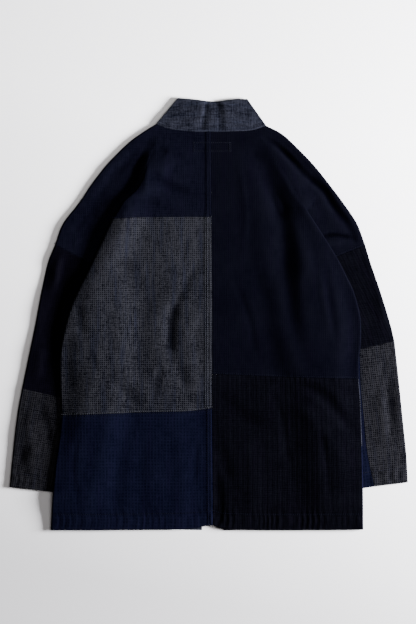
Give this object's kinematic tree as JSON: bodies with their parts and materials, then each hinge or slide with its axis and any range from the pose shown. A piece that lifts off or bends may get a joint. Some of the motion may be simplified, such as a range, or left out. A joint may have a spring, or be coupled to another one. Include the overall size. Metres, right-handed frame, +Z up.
{
  "type": "patched boro work jacket laid flat on its front, back up",
  "caption": "Patched indigo work jacket laid flat with its back up: pieced back, pieced sleeves beside the body, folded collar band.",
  "frame": {"origin": "centre of the jacket's box, on the surface that it lies on", "axes": "+Y from the hem to the collar, +X to the right as seen from above with the back up, +Z up from the surface"},
  "size_m": [0.78, 0.843, 0.0175],
  "materials": {
    "navy_cloth": "matt dark indigo waffle weave, faded on the raised folds",
    "grey_cloth": "matt charcoal waffle weave with darker creases",
    "blue_cloth": "matt mid-indigo coarse weave",
    "ribbed_cloth": "matt black cloth with raised ribs along the piece",
    "band_cloth": "matt washed grey-indigo plain weave"
  },
  "bodies": {
    "root": {"back_left_yoke": "navy_cloth", "back_left_middle": "grey_cloth", "back_left_lower": "blue_cloth", "back_right_upper": "navy_cloth", "back_right_lower": "ribbed_cloth", "front_left": "navy_cloth", "front_right_upper": "navy_cloth", "front_right_middle": "grey_cloth", "front_right_lower": "blue_cloth", "band_left": "band_cloth", "band_right": "band_cloth", "collar": "band_cloth", "sleeve_left_upper": "navy_cloth", "sleeve_left_lower": "grey_cloth", "sleeve_right_upper": "ribbed_cloth", "sleeve_right_lower": "grey_cloth", "sleeve_right_inner": "blue_cloth"}
  },
  "joints": []
}
